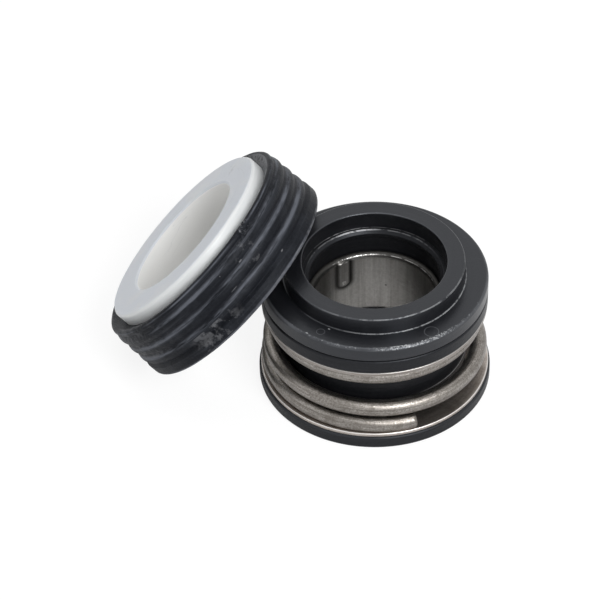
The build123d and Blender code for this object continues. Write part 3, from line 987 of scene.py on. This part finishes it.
def makeSeatRing():
    bore, bevel, soft = seat["ceramicBore"], seatRing["bevel"], seatRing["backRound"]
    outer = bore + seat["ceramicWall"]
    back = seat["cupFloor"]
    front = back + seat["ceramicThickness"]
    outline = roundedOutline([
        (bore + bevel, back, soft), (outer - bevel, back, soft), (outer, back + bevel, soft),
        (outer, front - bevel, seatRing["faceRound"]), (outer - bevel, front, seatRing["faceRound"]),
        (bore + bevel, front, seatRing["mouthRound"]), (bore, front - bevel, seatRing["boreRound"]),
        (bore, back + bevel, soft),
    ])
    piece = turnedPiece("ceramicSeatRing", outline, place=seatPlace)
    finishPiece(piece, makeCeramicMaterial(), "seat_ring", head)


crumbs = {
    "density": 30000.0, "seed": 7, "size": 0.1, "sink": 0.028,
    "least": (0.35, 0.35, 0.3), "most": (1.0, 1.0, 0.6),
    "colour": (0.13, 0.133, 0.14), "darker": (0.078, 0.0798, 0.084), "roughness": 0.7,
    "grainScale": 3000, "grainDepth": 5e-6,
}


def buildCrumbTree():
    # small grey crumbs scattered over a carrier and pressed a little into it
    tree, given = newGeometryTree("scatteredCrumbs", {
        "Geometry": "Geometry", "Density": "Float", "Seed": "Int", "Size": "Float", "Sink": "Float",
        "Least": "Vector", "Most": "Vector",
    })
    scatter = addNode(tree, "GeometryNodeDistributePointsOnFaces", {
        "Mesh": given["Geometry"], "Density": given["Density"], "Seed": given["Seed"],
    }).outputs
    values = {0: scatter["Normal"], "Scale": given["Sink"]}
    down = addNode(tree, "ShaderNodeVectorMath", values, operation="SCALE")
    pressed = addNode(tree, "GeometryNodeSetPosition", {"Geometry": scatter["Points"], "Offset": down})
    crumb = addNode(tree, "GeometryNodeMeshIcoSphere", {"Subdivisions": 2, "Radius": given["Size"]})
    sizes = addNode(tree, "FunctionNodeRandomValue", {
        "Min": given["Least"], "Max": given["Most"], "Seed": given["Seed"],
    }, data_type="FLOAT_VECTOR")
    placed = addNode(tree, "GeometryNodeInstanceOnPoints", {
        "Points": pressed, "Instance": crumb, "Rotation": scatter["Rotation"], "Scale": sizes,
    })
    return endGeometryTree(tree, given, placed)


def makeCrumbs(carrier):
    material, tree, shader = newMaterial("paleCrumbs")
    where, polar = centredCoordinates(tree)
    grain = grainAt(tree, where, crumbs["grainScale"])
    setInputs(tree, shader, {
        "Base Color": mixColour(tree, grain, crumbs["colour"], crumbs["darker"]),
        "Roughness": crumbs["roughness"],
    })
    addBump(tree, shader, [(grain, crumbs["grainDepth"])])
    piece = runTree("cupCrumbs", buildCrumbTree(), {
        "Density": crumbs["density"], "Seed": crumbs["seed"], "Size": crumbs["size"] * mm,
        "Sink": -crumbs["sink"] * mm, "Least": crumbs["least"], "Most": crumbs["most"], "Finish": material,
    }, carrier)
    finishPiece(piece, material, body=head)


makeBaseRing()
makeWashers()
makeSpring()
makeBellows()
makeSleeve()
makeFaceRing()
makeCrumbs(makeSeatCup())
makeSeatRing()


# floor, light and camera

stage = {
    "floorSize": 3.0, "floorDrop": 0.00002, "floorColour": (0.93, 0.93, 0.935, 1.0),
    "floorRoughness": 0.7, "floorSheen": 0.1, "seenWhite": 0.82, "whiteStrength": 1.06,
    "worldLight": 0.37, "worldSeen": 1.0, "aim": (0, 0, 0.01),
    "lamps": (
        {"name": "frontSoftbox", "place": (0.32, -0.5, 0.52), "size": 0.42, "power": 4.8},
        {"name": "topSoftbox", "place": (-0.05, 0.12, 0.8), "size": 0.6, "power": 1.5},
    ),
}


def makeFloor():
    # the camera sees the floor mostly as plain white, with the shadow on it
    bpy.ops.mesh.primitive_plane_add(size=stage["floorSize"], location=(0, 0, -stage["floorDrop"]))
    floor = bpy.context.object
    floor.name = "paleFloor"
    material, tree, shader = newMaterial("paleFloor")
    setInputs(tree, shader, {
        "Base Color": stage["floorColour"], "Roughness": stage["floorRoughness"],
        "Specular IOR Level": stage["floorSheen"],
    })
    white = addNode(tree, "ShaderNodeEmission", {"Color": (1, 1, 1, 1), "Strength": stage["whiteStrength"]})
    path = addNode(tree, "ShaderNodeLightPath").outputs
    share = maths(tree, "MULTIPLY", path["Is Camera Ray"], stage["seenWhite"])
    mixed = addNode(tree, "ShaderNodeMixShader", {0: share, 1: shader, 2: white})
    setInputs(tree, tree.nodes["Material Output"], {"Surface": mixed})
    floor.data.materials.append(material)


def makeWorld():
    # white to the camera and in reflections, dimmer as a light
    world = bpy.data.worlds.new("softTent")
    scene.world = world
    world.use_nodes = True
    tree = world.node_tree
    path = addNode(tree, "ShaderNodeLightPath").outputs
    seen = maths(tree, "MAXIMUM", path["Is Camera Ray"], path["Is Glossy Ray"])
    strength = remap(tree, seen, toMin=stage["worldLight"], toMax=stage["worldSeen"])
    setInputs(tree, tree.nodes["Background"], {"Color": (1, 1, 1, 1), "Strength": strength})


def makeLamp(name, place, size, power):
    lamp = bpy.data.lights.new(name, "AREA")
    lamp.shape = "DISK"
    lamp.size = size
    lamp.energy = power
    holder = bpy.data.objects.new(name, lamp)
    scene.collection.objects.link(holder)
    holder.location = place
    holder.rotation_euler = (Vector(stage["aim"]) - Vector(place)).to_track_quat("-Z", "Y").to_euler()


# millimetres and degrees, then the focal length, the frame and the origin's place in it in pixels
camera = {
    "distance": 400.0, "elevation": 42.8, "focalPixels": 2885.8, "frame": 600,
    "originX": 374.5, "originY": 367.9, "sensor": 36.0,
}


def makeCamera():
    # looks along the view line, then turns until the origin sits in its place in the frame
    rise = radians(camera["elevation"])
    back = Vector((0, -cos(rise), sin(rise)))
    up = Vector((0, sin(rise), cos(rise)))
    straight = Matrix((Vector((1, 0, 0)), up, back)).transposed()
    half = camera["frame"] / 2
    wanted = Vector((camera["originX"] - half, half - camera["originY"], -camera["focalPixels"]))
    turn = Vector((0, 0, -1)).rotation_difference(wanted.normalized()).to_matrix()
    data = bpy.data.cameras.new("view")
    data.sensor_width = camera["sensor"]
    data.lens = camera["sensor"] * camera["focalPixels"] / camera["frame"]
    data.clip_start = 0.01
    holder = bpy.data.objects.new("view", data)
    scene.collection.objects.link(holder)
    holder.location = back * camera["distance"] * mm
    holder.rotation_euler = (straight @ turn.transposed()).to_euler()
    scene.camera = holder


makeFloor()
makeWorld()
for lamp in stage["lamps"]:
    makeLamp(**lamp)
makeCamera()
scene.view_settings.view_transform = "Standard"
print("stage, light and camera set")
